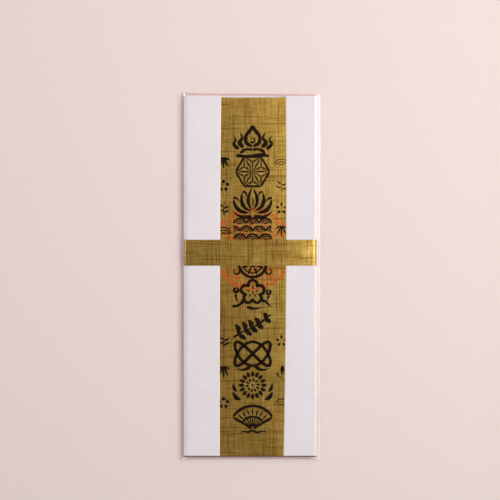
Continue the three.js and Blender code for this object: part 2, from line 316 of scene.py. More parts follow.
def gold_colour(tree, place):
    """The colour of the woven sheet, with large faint patches in it, and the height of its threads."""
    tone, height = weave(tree, place)
    patches = ramp(tree, clouds(tree, place, 45.0, detail=3.0), *COMMON_NOISE, -PATCH_TONE, PATCH_TONE)
    tone = calc(tree, "ADD", tone, patches)
    olive = ramp(tree, clouds(tree, stretched(tree, place, (1.0, 0.5, 1.0)), 70.0, detail=2.0), 0.45, 0.65)
    middle = mixed(tree, calc(tree, "MULTIPLY", olive, OLIVE_COVER), GOLD, GOLD_OLIVE)
    dark_half = mixed(tree, ramp(tree, tone, 0.0, 0.5), GOLD_DARK, middle)
    return mixed(tree, ramp(tree, tone, 0.5, 1.0), dark_half, GOLD_LIGHT), height


def bowed(tree, place, start, reach, fall):
    """The relief of a sheet that bends away towards the right, by a fall over a reach from a start."""
    out = node(tree, "SeparateXYZ", {0: place}).outputs["X"]
    share = calc(tree, "MAXIMUM", calc(tree, "DIVIDE", calc(tree, "SUBTRACT", out, start), reach), 0.0)
    return relief(tree, calc(tree, "MULTIPLY", calc(tree, "POWER", share, 2.0), -fall), 1.0)


def gold_sheet(shift, start, reach, fall):
    """The woven sheet, cut from its roll at a place of its own so that two pieces of it don't match up."""
    def build(tree):
        place = node(tree, "VectorMath", {0: object_place(tree), 1: shift}, operation="ADD").outputs[0]
        colour, height = gold_colour(tree, place)
        shine = ramp(tree, height, 0.0, 1.3, 0.42, 0.32)
        base = bowed(tree, object_place(tree), start, reach, fall)
        threads = {"Height": height, "Distance": THREAD_DEPTH, "Strength": THREAD_RELIEF, "Normal": base}
        bump = node(tree, "Bump", threads).outputs[0]
        return plain_shader(tree, base_color=colour, metallic=0.9, roughness=shine, normal=bump)
    return build


# Paper

def wrapper_paper(tree):
    place = object_place(tree)
    fibres = clouds(tree, stretched(tree, place, (1.0, 0.25, 1.0)), 900.0, detail=4.0, roughness=0.65)
    mottle = clouds(tree, place, 60.0, detail=3.0)
    shade = ramp(tree, calc(tree, "ADD", fibres, mottle), 0.7, 1.3)
    colour = mixed(tree, shade, PAPER_SHADE, PAPER_WHITE)
    # painted highlight along the left flap's folded edge and painted shade along the right one's
    for name, painted_light in (("left_crease_highlight", CREASE_PAINTED_HIGHLIGHT), ("right_crease_shade", CREASE_PAINTED_SHADE)):
        colour = mixed(tree, node(tree, "Attribute", attribute_name=name).outputs["Fac"], colour, painted_light)
    bump = relief(tree, fibres, 0.02 * MM, 0.35)
    return plain_shader(tree, base_color=colour, roughness=0.62, normal=bump, sheen_weight=0.1)


def inner_paper(colour):
    def build(tree):
        place = object_place(tree)
        fibres = clouds(tree, stretched(tree, place, (0.4, 1.0, 1.0)), 700.0, detail=5.0, roughness=0.7)
        tone = mixed(tree, ramp(tree, fibres, 0.35, 0.65), darker(colour, 0.9), colour)
        bump = relief(tree, fibres, 0.02 * MM, 0.4)
        return plain_shader(tree, base_color=tone, roughness=0.8, normal=bump)
    return build


def board_wood(tree):
    place = object_place(tree)
    warp = clouds(tree, place, 14.0, detail=2.0)
    axes = node(tree, "SeparateXYZ", {0: place}).outputs
    across = calc(tree, "ADD", calc(tree, "MULTIPLY", axes["X"], 160.0), calc(tree, "MULTIPLY", warp, 5.0))
    rings = ramp(tree, calc(tree, "PINGPONG", across, 1.0), 0.0, 1.0)
    pores = clouds(tree, stretched(tree, place, (1.0, 0.03, 1.0)), 1800.0, detail=3.0, roughness=0.6)
    colour = mixed(tree, rings, WOOD_PALE, WOOD_RING)
    colour = mixed(tree, ramp(tree, pores, 0.52, 0.7, 0.0, 0.5), colour, WOOD_PORE)
    bump = relief(tree, pores, 0.03 * MM, 0.4)
    return plain_shader(tree, base_color=colour, roughness=0.6, normal=bump)


def dried_glue(tree):
    place = object_place(tree)
    smear = clouds(tree, stretched(tree, place, (0.4, 1.0, 1.0)), 500.0, detail=3.0)
    colour = mixed(tree, ramp(tree, smear, 0.35, 0.65), GLUE_DARK, GLUE_PALE)
    bump = relief(tree, smear, 0.03 * MM, 0.5)
    return plain_shader(tree, base_color=colour, roughness=0.35, normal=bump)


# Film: clear over the paper and a little milky where it falls off the paper's sides, the milkiness in part
# painted light.
# Its edge tone is painted shade: rosy where it is faint, at the top rim and on the left weld, and a dark
# painted shadow along the paper's bottom edge.

MILKY_COVER = 0.5
FILM_ROUGHNESS = 0.07
FILM_IOR = 1.4


def clear_film(tree):
    place = object_place(tree)
    ripple = clouds(tree, stretched(tree, place, (1.0, 0.3, 1.0)), 60.0, detail=2.0)
    bump = relief(tree, ripple, 0.12 * MM, 0.25)
    haze_and_glare = calc(tree, "MULTIPLY", node(tree, "Attribute", attribute_name="haze_and_glare").outputs["Fac"], MILKY_COVER)
    edge = node(tree, "Attribute", attribute_name="edge").outputs["Fac"]
    clear = node(tree, "BsdfTransparent", {"Color": FILM_CLEAR}).outputs[0]
    veil = node(tree, "BsdfTransparent", {"Color": FILM_VEIL}).outputs[0]
    # The milky layer: a white diffuse with its normal held upward, added over what the film lets through;
    # partly the film's haze, partly painted light on its sloping sides
    white = node(tree, "BsdfDiffuse", {"Color": FILM_HAZE_AND_GLARE, "Normal": (0, 0, 1)}).outputs[0]
    hazy_and_lit = node(tree, "AddShader", {0: veil, 1: white}).outputs[0]
    # painted shade on the film's edges: rosy where faint, dark in the painted shadow along the paper's bottom
    # edge
    line = node(tree, "BsdfDiffuse", {"Color": mixed(tree, edge, EDGE_SHADE_TINT, EDGE_SHADOW)}).outputs[0]
    body = node(tree, "MixShader", {0: haze_and_glare, 1: clear, 2: hazy_and_lit}).outputs[0]
    body = node(tree, "MixShader", {0: edge, 1: body, 2: line}).outputs[0]
    gloss = {"Color": (1, 1, 1, 1), "Roughness": FILM_ROUGHNESS, "Normal": bump}
    shine = node(tree, "BsdfGlossy", gloss).outputs[0]
    grazing = node(tree, "Fresnel", {"IOR": FILM_IOR, "Normal": bump}).outputs[0]
    outside = calc(tree, "SUBTRACT", 1.0, node(tree, "NewGeometry").outputs["Backfacing"])
    reflected = calc(tree, "MULTIPLY", grazing, outside)
    return node(tree, "MixShader", {0: reflected, 1: body, 2: shine}).outputs[0]


# Ink and seal

def brushed_ink(tree):
    place = object_place(tree)
    pooled = clouds(tree, place, 420.0, detail=3.0, roughness=0.6)
    colour = mixed(tree, ramp(tree, pooled, 0.45, 0.75, 0.0, 0.6), INK, INK_THIN)
    height = weave(tree, place)[1]
    bump = relief(tree, height, 0.02 * MM, 0.4)
    return plain_shader(tree, base_color=colour, roughness=0.6, normal=bump, specular_ior_level=0.04)


def stamped_seal(tree):
    place = object_place(tree)
    gold, height = gold_colour(tree, place)
    grip = clouds(tree, place, 700.0, detail=3.0, roughness=0.7)
    cover = ramp(tree, grip, 0.36, 0.56, 0.4, 1.0)
    colour = mixed(tree, cover, gold, SEAL_RED)
    bump = relief(tree, height, THREAD_DEPTH, THREAD_RELIEF)
    return plain_shader(tree, base_color=colour, roughness=0.55, normal=bump, specular_ior_level=0.1)


BUILDERS = {
    "gold_sheet": gold_sheet(shift=(0, 0, 0), start=0, reach=21 * MM, fall=0.45 * MM),
    "gold_band_sheet": gold_sheet(shift=(0.137, 0.211, 0), start=19 * MM, reach=24 * MM, fall=0.7 * MM),
    "wrapper_paper": wrapper_paper,
    "liner_paper": inner_paper(LINER_PAPER),
    "slip_paper": inner_paper(SLIP_PAPER),
    "board_wood": board_wood,
    "dried_glue": dried_glue,
    "clear_film": clear_film,
    "ink": brushed_ink,
    "seal": stamped_seal,
}
MATERIALS = {name: surface(name, build) for name, build in BUILDERS.items()}


# Mesh helpers

SHARP_ANGLE = math.radians(40)


def make_piece(name, points, faces, material):
    mesh = bpy.data.meshes.new(name)
    mesh.from_pydata([tuple(p) for p in points], [], faces)
    mesh.validate()
    mesh.shade_smooth()
    mesh.set_sharp_from_angle(angle=SHARP_ANGLE)
    mesh.materials.append(MATERIALS[material])
    piece = bpy.data.objects.new(name, mesh)
    bpy.context.scene.collection.objects.link(piece)
    return piece


def closed_sheet(outer, inner):
    """Points and faces of a closed solid between two grids of points with the same rows and columns."""
    rows = len(outer)
    columns = len(outer[0])
    points = [p for row in outer for p in row] + [p for row in inner for p in row]
    below = rows * columns
    faces = []

    def at(row, column):
        return row * columns + column

    for row in range(rows - 1):
        for column in range(columns - 1):
            quad = (at(row, column), at(row, column + 1), at(row + 1, column + 1), at(row + 1, column))
            faces.append(quad)
            faces.append(tuple(below + i for i in reversed(quad)))
    border = [at(0, c) for c in range(columns)]
    border += [at(r, columns - 1) for r in range(1, rows)]
    border += [at(rows - 1, c) for c in range(columns - 2, -1, -1)]
    border += [at(r, 0) for r in range(rows - 2, 0, -1)]
    for i, first in enumerate(border):
        second = border[(i + 1) % len(border)]
        faces.append((second, first, below + first, below + second))
    return points, faces


def joined(parts):
    """Several lots of points and faces as one lot."""
    points, faces = [], []
    for more_points, more_faces in parts:
        start = len(points)
        points += more_points
        faces += [tuple(start + i for i in face) for face in more_faces]
    return points, faces


def offset_lines(line, thickness):
    """The two edges of a strip of this thickness whose middle follows a line in a plane."""
    left = []
    right = []
    for i, point in enumerate(line):
        before = line[max(i - 1, 0)]
        after = line[min(i + 1, len(line) - 1)]
        along = (after - before).normalized()
        away = Vector((-along.y, along.x)) * thickness / 2
        left.append(point + away)
        right.append(point - away)
    return left, right


def arc(centre, width, height, start, end, steps):
    """Points on part of an ellipse, with its angles in degrees."""
    angles = [math.radians(start + (end - start) * i / steps) for i in range(steps + 1)]
    return [Vector((centre[0] + width * math.cos(a), centre[1] + height * math.sin(a))) for a in angles]


def straight(start, end, steps):
    first, last = Vector(start), Vector(end)
    return [first.lerp(last, i / steps) for i in range(steps + 1)]


def run_sheet(name, line, thickness, low, high, rows, shape, material):
    """A sheet whose section is a line in X and Z, run along Y, with each point then moved by shape."""
    left, right = offset_lines(line, thickness)
    grids = []
    for edge in (left, right):
        grids.append([
            [shape(Vector((p.x, low + (high - low) * row / rows, p.y))) for p in edge]
            for row in range(rows + 1)
        ])
    return make_piece(name, *closed_sheet(*grids), material)


# Into how many parts the sheets are divided, round their section and along their length
SIDE_STEPS = 24
FLAT_STEPS = 10
FOLD_STEPS = 12
FLAP_STEPS = 30
BAND_FRONT_STEPS = 80
WRAPPER_ROWS = 90
BAND_ROWS = 12


def smooth(share):
    held = min(max(share, 0.0), 1.0)
    return held * held * (3 - 2 * held)


def dip(x):
    """How far a flap, and the band over it, has fallen at a distance from the middle of the talisman."""
    hem_end = HALF_WIDTH - RIGHT_FLAP + HEM
    return FLAP_DIP * min(max((abs(x) - hem_end) / (LEFT_CENTRE - hem_end), 0.0), 1.0) ** 2


# Wrapper: one sheet with folded hems

FLAP_LEVEL = paper_high.z - PAPER / 2


def wrapper_line():
    half = PAPER / 2
    low = paper_low.z + half
    side_level = FLAP_LEVEL - FLAP_DIP
    level, tall = (low + side_level) / 2, (side_level - low) / 2
    hem_level = FLAP_LEVEL - PAPER - HEM_GAP
    turn = (FLAP_LEVEL + FOLD_SPRING - hem_level - FOLD_LIFT) / 2

    def half_line(side, flap, side_centre):
        """From the hem's free end, round the fold and over the flap, to where the side starts to round."""
        fold = HALF_WIDTH - flap + FOLD_REACH + half
        part = []
        for i in range(FLAT_STEPS):
            share = i / FLAT_STEPS
            part.append(Vector((fold + HEM * (1 - share), hem_level + FOLD_LIFT * smooth(share))))
        part += arc((fold, hem_level + FOLD_LIFT + turn), FOLD_REACH, turn, -90, -270, FOLD_STEPS)
        for i in range(1, FLAP_STEPS + 1):
            x = fold + (side_centre - fold) * i / FLAP_STEPS
            spring = FOLD_SPRING * (1 - smooth((x - fold) / SPRING_LENGTH))
            part.append(Vector((x, FLAP_LEVEL + spring - dip(x))))
        return [Vector((side * p.x, p.y)) for p in part]

    line = half_line(-1, LEFT_FLAP, LEFT_CENTRE)
    line += arc((-LEFT_CENTRE, level), LEFT_SIDE_ROUND - half, tall, 90, 270, SIDE_STEPS)[1:]
    line += straight((-LEFT_CENTRE, low), (RIGHT_CENTRE, low), FLAT_STEPS)[1:-1]
    line += arc((RIGHT_CENTRE, level), RIGHT_SIDE_ROUND - half, tall, -90, 90, SIDE_STEPS)[:-1]
    return line + list(reversed(half_line(1, RIGHT_FLAP, RIGHT_CENTRE)))


def edge_shift(side, y):
    """How far right of its place at half the length a flap's inner edge is, from its lean and its bow."""
    lean, bow = (LEFT_LEAN, LEFT_BOW) if side < 0 else (RIGHT_LEAN, RIGHT_BOW)
    share = y / HALF_LENGTH
    return lean / 2 * share + bow * share ** 2


def wrapper_shape(point):
    on_flap = point.z > facing_high.z
    if on_flap and abs(point.x) < LEFT_CENTRE - PAPER:
        point.x += edge_shift(point.x, point.y)
    return point + Vector((MIDDLE.x, MIDDLE.y, 0))


wrapper = run_sheet(
    "wrapper_sheet",
    wrapper_line(),
    thickness=PAPER,
    low=-HALF_LENGTH,
    high=HALF_LENGTH,
    rows=WRAPPER_ROWS,
    shape=wrapper_shape,
    material="wrapper_paper",
)


def crease_shares(side, flap):
    """How near each point of the wrapper is to the crease of one flap's inner edge: the mask of the painted
    highlight on the left crease and of the painted shade on the right one.
    """
    shares = []
    for vertex in wrapper.data.vertices:
        place = vertex.co - MIDDLE
        inner_edge = side * (HALF_WIDTH - flap) + edge_shift(side, place.y)
        on_flap = vertex.co.z > facing_high.z and side * place.x > 0
        shares.append(1 - smooth(side * (place.x - inner_edge) / CREASE) if on_flap else 0.0)
    return shares


# Masks of the painted highlight and the painted shade at the flaps' folded edges
for name, shares in (
    ("left_crease_highlight", crease_shares(-1, LEFT_FLAP)),
    ("right_crease_shade", crease_shares(1, RIGHT_FLAP)),
):
    wrapper.data.attributes.new(name, "FLOAT", "POINT").data.foreach_set("value", shares)


# Band: a strip once round the wrapper, lapped at the back

def band_line():
    half = BAND / 2
    inner = band_low.z + BAND + GLUE + half
    lap = band_low.z + half
    front = band_high.z - half
    side_level = front - FLAP_DIP
    level, tall = (inner + side_level) / 2, (side_level - inner) / 2
    wide = BAND_SIDE_ROUND - half
    centre = (band_high.x - band_low.x) / 2 - BAND_SIDE_ROUND
    line = straight((-LAP / 2, inner), (centre, inner), FLAT_STEPS)[:-1]
    line += arc((centre, level), wide, tall, -90, 90, SIDE_STEPS)
    across = straight((centre, front), (-centre, front), BAND_FRONT_STEPS)[1:-1]
    line += [Vector((p.x, p.y - dip(p.x))) for p in across]
    line += arc((-centre, level), wide, tall, 90, 270, SIDE_STEPS)
    step_start = -LAP / 2 - LAP_STEP_GAP - LAP_STEP
    line += straight((-centre, inner), (step_start, inner), FLAT_STEPS)[1:]
    for i in range(1, FOLD_STEPS + 1):
        share = i / FOLD_STEPS
        line.append(Vector((step_start + LAP_STEP * share, inner + (lap - inner) * smooth(share))))
    line += straight((step_start + LAP_STEP, lap), (LAP / 2, lap), FLAT_STEPS)[1:]
    return line


def band_shape(point):
    return point + Vector((MIDDLE.x, 0, 0))


band = run_sheet(
    "band_strip",
    band_line(),
    thickness=BAND,
    low=band_low.y - BAND_LOWER,
    high=band_high.y,
    rows=BAND_ROWS,
    shape=band_shape,
    material="gold_band_sheet",
)


# Film: two layers, welded down both sides and folded at the bottom

FILM_LEVEL = (film_low.z + film_high.z) / 2
FILM_HALF_HEIGHT = (film_high.z - film_low.z) / 2 - FILM
FILM_SIDE_STEPS = 16
FILM_FLAT_STEPS = 24
FILM_LENGTH_STEPS = 58
FILM_SHARES = [math.sin(math.pi / 2 * i / FILM_SIDE_STEPS) for i in range(FILM_SIDE_STEPS + 1)]


def film_side(share, spare):
    """How far out the film is at a share of its height: an easy fall to a knee, then a steep one."""
    start = HALF_WIDTH - FILM_SHOULDER
    weld = HALF_WIDTH + FILM_STANDOFF + spare
    knee = weld - FILM_KNEE
    bend = FILM_KNEE_SLOPE / (knee - start)
    knee_share = 1 - bend * (knee - start) ** 2 / 2 / FILM_HALF_HEIGHT
    if share >= knee_share:
        return start + math.sqrt(2 * (1 - share) * FILM_HALF_HEIGHT / bend)
    steepness = FILM_HALF_HEIGHT * knee_share / FILM_KNEE_SLOPE / FILM_KNEE
    return weld - FILM_KNEE * (share / knee_share) ** steepness


def film_columns():
    """Places across the film, each with its share of the film's height, its milkiness, in part a painted
    highlight on the right, and its edge tone, painted shade on the left weld.
    """
    bead = BEAD / FILM_HALF_HEIGHT
    left, right = film_side(0, LEFT_SPARE), film_side(0, RIGHT_SPARE)
    # painted shade on the left weld, which lies in the cast shadow; the right weld has none
    left_half = [(left + LEFT_WELD, 0, 0, WELD_SHADE_SHARE / 2), (left, 0, 0, WELD_SHADE_SHARE)]
    right_half = [
        (right + RIGHT_WELD, 0, WELD_MILK, 0),
        (right + WELD_FOOT * RIGHT_WELD, 0, WELD_MILK, 0),
        (right + WELD_TOP * RIGHT_WELD, bead, WELD_MILK, 0),
    ]
    for half, spare, rise in (
        (left_half, LEFT_SPARE, LEFT_MILK_RISE),
        (right_half, RIGHT_SPARE, RIGHT_MILK_RISE),
    ):
        for share in FILM_SHARES[1:]:
            half.append((film_side(share, spare), share, WELD_MILK * (1 - share) ** rise, 0))
    flat = [(HALF_WIDTH * (2 * i / FILM_FLAT_STEPS - 1), 1, 0, 0) for i in range(1, FILM_FLAT_STEPS)]
    return [(-x, *rest) for x, *rest in left_half] + flat + right_half[::-1]


def film_rows(outward, rim_base, rim_ear):
    """Places along the film, each with its share of the film's height, its milkiness, in part painted light
    at the bottom fold, and its edge tone: a painted shadow along the paper's bottom edge and painted shade at
    the top rim.
    """
    plateau = -HALF_LENGTH - FOLD_CLEARANCE
    fold = plateau - FOLD_REACH_MIDDLE - (FOLD_REACH_EAR - FOLD_REACH_MIDDLE) * outward
    rim = HALF_LENGTH + rim_base + (rim_ear - rim_base) * outward
    rows = [(fold + (plateau - fold) * share, share, END_HAZE_AND_LIGHT, 0) for share in FILM_SHARES[:-2]]
    # a painted shadow: the dark line along the paper's bottom edge
    rows += [(plateau, 1, 0, END_SHADOW_SHARE), (plateau + END_SHADOW_LINE, 1, 0, END_SHADOW_SHARE)]
    first = plateau + (1 + LINE_FADE) * END_SHADOW_LINE
    last = rim - len(RIM_SHADE_SHARES) * RIM_LINE
    rows += [(first + (last - first) * i / FILM_LENGTH_STEPS, 1, 0, 0) for i in range(FILM_LENGTH_STEPS + 1)]
    # painted shade at the top rim
    top = [(rim - RIM_LINE * i, 1, 0, share) for i, share in enumerate(RIM_SHADE_SHARES)]
    return rows + top[::-1]


def haze_and_glare_kept(x, y):
    """The share of its milkiness that the film keeps: all on the left, ever less down the right side, where
    it is in part a painted highlight that fades from the top end.
    """
    if x < 0:
        return 1
    low = RIGHT_WELD_HAZE_GLARE_LOW if x >= film_side(0, RIGHT_SPARE) else RIGHT_HAZE_GLARE_LOW
    return low + (RIGHT_HAZE_GLARE_HIGH - low) * smooth(0.5 + y / HALF_LENGTH / FADE_REACH)


def film_layer(side):
    """The two grids of the front film (side 1) or the back film (-1), their milkiness, in part painted light,
    and their edge tone, which is painted shade.
    """
    columns = film_columns()
    outer, inner, haze_and_glare, edge = [], [], [], []
    for row in range(len(film_rows(0, 0, 0))):
        outer_row, inner_row = [], []
        for x, share, hazy_and_lit, side_shade in columns:
            outward = (x / columns[0 if x < 0 else -1][0]) ** EAR_SHARPNESS
            rim_base = RIM_REACH_MIDDLE + (RIM_REACH_RIGHT - RIM_REACH_MIDDLE) * smooth(x / HALF_WIDTH)
            rim_ear = RIM_REACH_LEFT_EAR if x < 0 else RIM_REACH_RIGHT_EAR
            y, end_share, end_hazy_and_lit, end_shade = film_rows(outward, rim_base, rim_ear)[row]
            height = FILM_HALF_HEIGHT * min(share, end_share)
            place = Vector((x + MIDDLE.x, y + MIDDLE.y, FILM_LEVEL))
            outer_row.append(place + Vector((0, 0, side * (height + FILM))))
            inner_row.append(place + Vector((0, 0, side * height)))
            haze_and_glare.append(max(hazy_and_lit * haze_and_glare_kept(x, y), end_hazy_and_lit))
            past_paper = y < 0 and abs(x) > HALF_WIDTH
            edge.append(side_shade if past_paper else max(side_shade, end_shade))
        outer.append(outer_row)
        inner.append(inner_row)
    if side < 0:
        outer, inner = inner, outer
    return (outer, inner), haze_and_glare * 2, edge * 2


def film_sleeve():
    parts, haze_and_glare, edge = [], [], []
    for side in (1, -1):
        grids, more_haze_and_glare, more_edge_shade = film_layer(side)
        parts.append(closed_sheet(*grids))
        haze_and_glare += more_haze_and_glare
        edge += more_edge_shade
    piece = make_piece("film_sleeve", *joined(parts), "clear_film")
    for name, values in (("haze_and_glare", haze_and_glare), ("edge", edge)):
        piece.data.attributes.new(name, "FLOAT", "POINT").data.foreach_set("value", values)
    return piece


sleeve = film_sleeve()


# Brush strokes: each is a thin closed solid on the face of the gold sheet, drawn in a cell from -1 to 1 as a
# line, a width and the pressures along it, which are these shares of its width

LEAF = (0.12, 0.8, 1.0, 0.7, 0.1)
DAB = (0.45, 1.0, 0.9, 0.25)
EVEN = (0.8, 1.0, 0.88, 1.0, 0.8)
TAIL = (0.85, 1.0, 0.75, 0.45, 0.1)
PULL = (1.0, 0.72, 0.7, 0.95, 0.6)
RING_TURN = 365  # a little over one turn, so that a ring's ends meet
KNOT_STEPS = 150


def through(*places, steps=12):
    """A smooth line through a few points."""
    points = [Vector(p) for p in (places[0], *places, places[-1])]
    line = []
    for a, b, c, d in zip(points, points[1:], points[2:], points[3:]):
        for i in range(steps):
            t = i / steps
            bend = 2 * a - 5 * b + 4 * c - d
            line.append((2 * b + (c - a) * t + bend * t**2 + (3 * b - a - 3 * c + d) * t**3) / 2)
    return [*line, points[-1]]


def curl(centre, start_radius, end_radius, start, turn, steps=48):
    """Part of a ring or a spiral, with its start and its turn in degrees."""
    line = []
    for i in range(steps + 1):
        radius = start_radius + (end_radius - start_radius) * i / steps
        angle = math.radians(start + turn * i / steps)
        line.append(Vector(centre) + radius * Vector((math.cos(angle), math.sin(angle))))
    return line


def ring(centre, radius):
    return curl(centre, radius, radius, 90, RING_TURN)


def dot(x, y, size):
    return straight((x - size / 4, y), (x + size / 4, y), 4), size, EVEN


def heading(degrees):
    """A step of 1 in a direction."""
    return Vector((math.cos(math.radians(degrees)), math.sin(math.radians(degrees))))


def spoke(centre, start_radius, end_radius, degrees):
    out = heading(degrees)
    return straight(Vector(centre) + start_radius * out, Vector(centre) + end_radius * out, 6)


def both_sides(strokes):
    """Strokes and their mirror images."""
    return strokes + [([Vector((-p.x, p.y)) for p in line], width, press) for line, width, press in strokes]


def jewel():
    half = [
        (through((0, 0.76), (0.1, 0.54), (0.33, 0.24), (0.3, -0.1), (0, -0.26)), 0.14, EVEN),
        (through((0.44, -0.32), (0.64, -0.08), (0.5, 0.16), (0.64, 0.46)), 0.17, TAIL),
        (through((0.66, -0.4), (0.92, -0.16), (0.82, 0.06), (0.97, 0.3)), 0.14, TAIL),
        (through((0, -0.42), (0.3, -0.4), (0.5, -0.5), (0.62, -0.62)), 0.14, PULL),
    ]
    return both_sides(half) + [
        (curl((0.0, 0.06), 0.15, 0.03, -150, 430), 0.08, TAIL),
        (through((-0.8, -0.7), (-0.3, -0.74), (0.3, -0.68), (0.82, -0.73)), 0.15, PULL),
    ]


def hemp_leaf():
    """A six-pointed lattice in a hexagon."""
    strokes = []
    corners = [0.82 * heading(60 * i) for i in range(7)]
    for a, b in zip(corners, corners[1:]):
        inside = (a + b) / 3
        strokes.append((straight(a, b, 6), 0.11, EVEN))
        strokes.append((straight((0, 0), a, 6), 0.08, LEAF))
        strokes += [(straight(inside, end, 6), 0.08, TAIL) for end in (a, b, (0, 0))]
    return strokes


def lotus():
    half = [
        (through((0, -0.4), (0.2, -0.08), (0.19, 0.3), (0, 0.74)), 0.14, LEAF),
        (through((0.06, -0.46), (0.42, -0.22), (0.54, 0.14), (0.48, 0.54)), 0.16, LEAF),
        (through((0.48, 0.54), (0.33, 0.44), (0.24, 0.24)), 0.1, TAIL),
        (through((0.14, -0.52), (0.6, -0.42), (0.86, -0.12), (0.94, 0.24)), 0.17, LEAF),
        (through((0.94, 0.24), (0.74, 0.16), (0.6, -0.02)), 0.1, TAIL),
        (through((0.04, -0.68), (0.4, -0.72), (0.74, -0.62), (0.99, -0.4)), 0.17, TAIL),
    ]
    return both_sides(half) + [(through((0, 0.3), (0.02, 0), (0, -0.28)), 0.07, LEAF)]


def waves():
    strokes = []
    for row, places in enumerate(((-0.62, 0, 0.62), (-0.93, -0.31, 0.31, 0.93), (-0.62, 0, 0.62))):
        for place in places:
            start, turn = 8, 164
            if abs(place) > 0.9:
                start, turn = 90, math.copysign(80, place)
            for radius, width in ((0.3, 0.11), (0.19, 0.075), (0.08, 0.08)):
                strokes.append((curl((place, 0.4 - 0.38 * row), radius, radius, start, turn), width, EVEN))
    strokes.append((through((-0.96, -0.56), (-0.3, -0.66), (0.3, -0.56), (0.96, -0.68)), 0.13, PULL))
    return strokes


def wheel():
    rings = ((0.66, 0.14), (0.46, 0.07), (0.13, 0.12))
    strokes = [(ring((0, 0), radius), width, EVEN) for radius, width in rings]
    strokes += [(spoke((0, 0), 0.2, 0.6, 22.5 + 45 * i), 0.11, DAB) for i in range(8)]
    side = [
        (curl((0.8, 0.36), 0.2, 0.04, 230, -420), 0.1, TAIL),
        (curl((0.8, -0.36), 0.2, 0.04, 130, 420), 0.1, TAIL),
    ]
    return strokes + both_sides(side)


def plum():
    heart = Vector((0, 0.1))
    strokes = [dot(*heart, 0.16)]
    for i in range(5):
        degrees = 90 + 72 * i
        petal = spoke(heart, 0, 0.37, degrees)[-1]
        strokes.append((curl(petal, 0.22, 0.2, degrees - 128, 256), 0.12, EVEN))
        strokes.append((spoke(heart, 0.14, 0.32, degrees), 0.06, DAB))
    return strokes + [
        (through((-0.99, -0.6), (-0.66, -0.52), (-0.42, -0.3), (-0.3, -0.26)), 0.14, PULL),
        (through((0.3, -0.3), (0.6, -0.34), (0.86, -0.58), (0.98, -0.6)), 0.12, TAIL),
        (through((-0.3, -0.62), (0.1, -0.7), (0.5, -0.64)), 0.12, TAIL),
        (ring((0.78, 0.1), 0.09), 0.1, EVEN),
        (through((0.8, -0.05), (0.74, -0.2), (0.62, -0.3)), 0.08, TAIL),
        (ring((-0.8, 0.2), 0.1), 0.11, EVEN),
        (through((-0.82, 0.04), (-0.8, -0.2), (-0.66, -0.46)), 0.09, TAIL),
    ]


def leafy_branch():
    stem = through((-0.95, -0.62), (-0.4, -0.3), (0.2, -0.02), (0.9, 0.5))
    strokes = [(stem, 0.1, PULL)]
    for i, share in enumerate((0.16, 0.34, 0.5, 0.66, 0.82)):
        foot = stem[round(share * (len(stem) - 1))]
        for side in (1, -1):
            tip = foot + Vector((0.1 - 0.26 * side, 0.42 * side + 0.1)) * (1 - 0.09 * i)
            swell = (foot + tip) / 2 + Vector((0.1, 0.02))
            strokes.append((through(foot, swell, tip), 0.2, LEAF))
    return strokes


def knot():
    angles = [2 * math.pi * i / KNOT_STEPS for i in range(KNOT_STEPS + 1)]
    loop = [Vector((0.86 * math.sin(2 * a), 0.08 + 0.58 * math.sin(3 * a))) for a in angles]
    tail = (through((0.05, -0.42), (0.24, -0.62), (0.52, -0.7), (0.84, -0.62)), 0.13, TAIL)
    return [(loop, 0.12, (1.0, 0.85, 1.0, 0.85, 1.0))] + both_sides([tail])


def chrysanthemum():
    heart = (0, 0.04)
    strokes = [dot(*heart, 0.2)]
    strokes += [(spoke(heart, 0.4, 0.7, 22.5 * i), 0.15, DAB) for i in range(16)]
    strokes += [(spoke(heart, 0.18, 0.37, 36 * i + 9), 0.1, DAB) for i in range(10)]
    leaves = [
        (through((0.56, -0.66), (0.8, -0.56), (0.98, -0.26)), 0.18, LEAF),
        (through((0.76, -0.3), (0.9, -0.1), (0.96, 0.16)), 0.15, LEAF),
    ]
    return strokes + both_sides(leaves)


def open_fan():
    pivot = (0, -0.6)
    strokes = [
        (curl(pivot, 1.12, 1.12, 32, 116), 0.13, EVEN),
        (curl(pivot, 0.6, 0.6, 32, 116), 0.1, EVEN),
        (spoke(pivot, 0.05, 1.12, 31), 0.13, PULL),
        (spoke(pivot, 0.05, 1.12, 149), 0.13, PULL),
        (through((0, -0.64), (0.2, -0.76), (0.5, -0.7), (0.76, -0.78)), 0.1, TAIL),
        (through((0, -0.64), (-0.2, -0.74), (-0.46, -0.72), (-0.7, -0.8)), 0.1, TAIL),
    ]
    strokes += [(spoke(pivot, 0.1, 0.58, 45 + 15 * i), 0.055, EVEN) for i in range(7)]
    return strokes + [(spoke(pivot, 0.66, 1.04, 45 + 15 * i), 0.07, LEAF) for i in range(7)]


def sprig():
    strokes = [(through((0.1, -0.95), (-0.02, 0), (0.12, 0.95)), 0.14, TAIL)]
    for side, foot, reach in ((1, -0.5, 0.8), (-1, -0.3, 0.85), (1, 0.05, 0.75), (-1, 0.3, 0.65)):
        tip = (side * reach, foot + 0.42)
        strokes.append((through((0, foot), (side * reach * 0.6, foot + 0.12), tip), 0.26, LEAF))
    return strokes


def blossom():
    strokes = [dot(0, 0, 0.24)]
    return strokes + [(spoke((0, 0), 0.3, 0.85, 90 + 72 * i), 0.42, DAB) for i in range(5)]


def five_leaves():
    tips = ((-0.95, 0.3), (-0.62, -0.55), (0, -0.92), (0.62, -0.55), (0.95, 0.3))
    return [(through((0, 0.75), (0.45 * x, 0.4 * y + 0.45), (x, y)), 0.3, LEAF) for x, y in tips]


def small_wave():
    return [(curl((0, -0.5), radius, radius, 4, 172), 0.17, EVEN) for radius in (1.0, 0.66, 0.3)]


